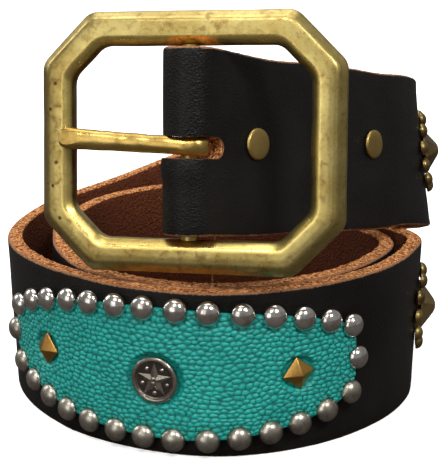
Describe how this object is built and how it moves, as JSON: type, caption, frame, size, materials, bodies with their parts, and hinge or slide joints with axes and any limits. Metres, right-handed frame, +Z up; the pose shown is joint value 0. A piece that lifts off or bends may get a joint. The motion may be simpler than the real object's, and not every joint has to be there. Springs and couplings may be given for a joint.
{
  "type": "studded belt",
  "caption": "Rolled wide black leather belt with raw tan edges, an open eight-sided brass buckle, and a turquoise patch ringed with silver domes; it stands on its lower edge.",
  "frame": {"origin": "under the middle of the whole belt, on the surface it stands on", "axes": "+Z up across the strap's width, -Y towards the viewer of the front, +X to the viewer's right"},
  "size_m": [0.1324, 0.139, 0.1142],
  "materials": {
    "leather": "smooth semi-matt black grain with raw tan edges",
    "turquoise": "dyed pebbled leather",
    "antique_brass": "cast, worn and darkened in the hollows",
    "nickel": "polished plate",
    "aged_silver": "worn, dark in the hollows"
  },
  "bodies": {
    "belt": {"strap": "leather", "rivet_1": "antique_brass", "rivet_2": "antique_brass", "turquoise_patch": "turquoise", "dome_stud_1": "nickel", "dome_stud_2": "nickel", "dome_stud_3": "nickel", "dome_stud_4": "nickel", "dome_stud_5": "nickel", "dome_stud_6": "nickel", "dome_stud_7": "nickel", "dome_stud_8": "nickel", "dome_stud_9": "nickel", "dome_stud_10": "nickel", "dome_stud_11": "nickel", "dome_stud_12": "nickel", "dome_stud_13": "nickel", "dome_stud_14": "nickel", "dome_stud_15": "nickel", "dome_stud_16": "nickel", "dome_stud_17": "nickel", "dome_stud_18": "nickel", "dome_stud_19": "nickel", "dome_stud_20": "nickel", "dome_stud_21": "nickel", "dome_stud_22": "nickel", "dome_stud_23": "nickel", "dome_stud_24": "nickel", "dome_stud_25": "nickel", "dome_stud_26": "nickel", "dome_stud_27": "nickel", "dome_stud_28": "nickel", "dome_stud_29": "nickel", "dome_stud_30": "nickel", "concho": "aged_silver", "pyramid_spot_left": "antique_brass", "pyramid_spot_right": "antique_brass", "upper_spot": "antique_brass", "upper_bead_ring": "antique_brass", "lower_spot": "antique_brass", "lower_bead_ring": "antique_brass"},
    "frame": {"buckle_frame": "antique_brass"},
    "tongue": {"prong": "antique_brass"}
  },
  "joints": [
    {"name": "frame_hinge", "type": "hinge", "parent": "belt", "child": "frame", "pos_m": [-0.01056, -0.05463, 0.081], "axis": [0.0086, 0.1736, 0.9848], "range_deg": [-30, 35]},
    {"name": "prong_hinge", "type": "hinge", "parent": "frame", "child": "tongue", "pos_m": [-0.01056, -0.05463, 0.081], "axis": [0.0086, 0.1736, 0.9848], "range_deg": [0, 85]}
  ]
}
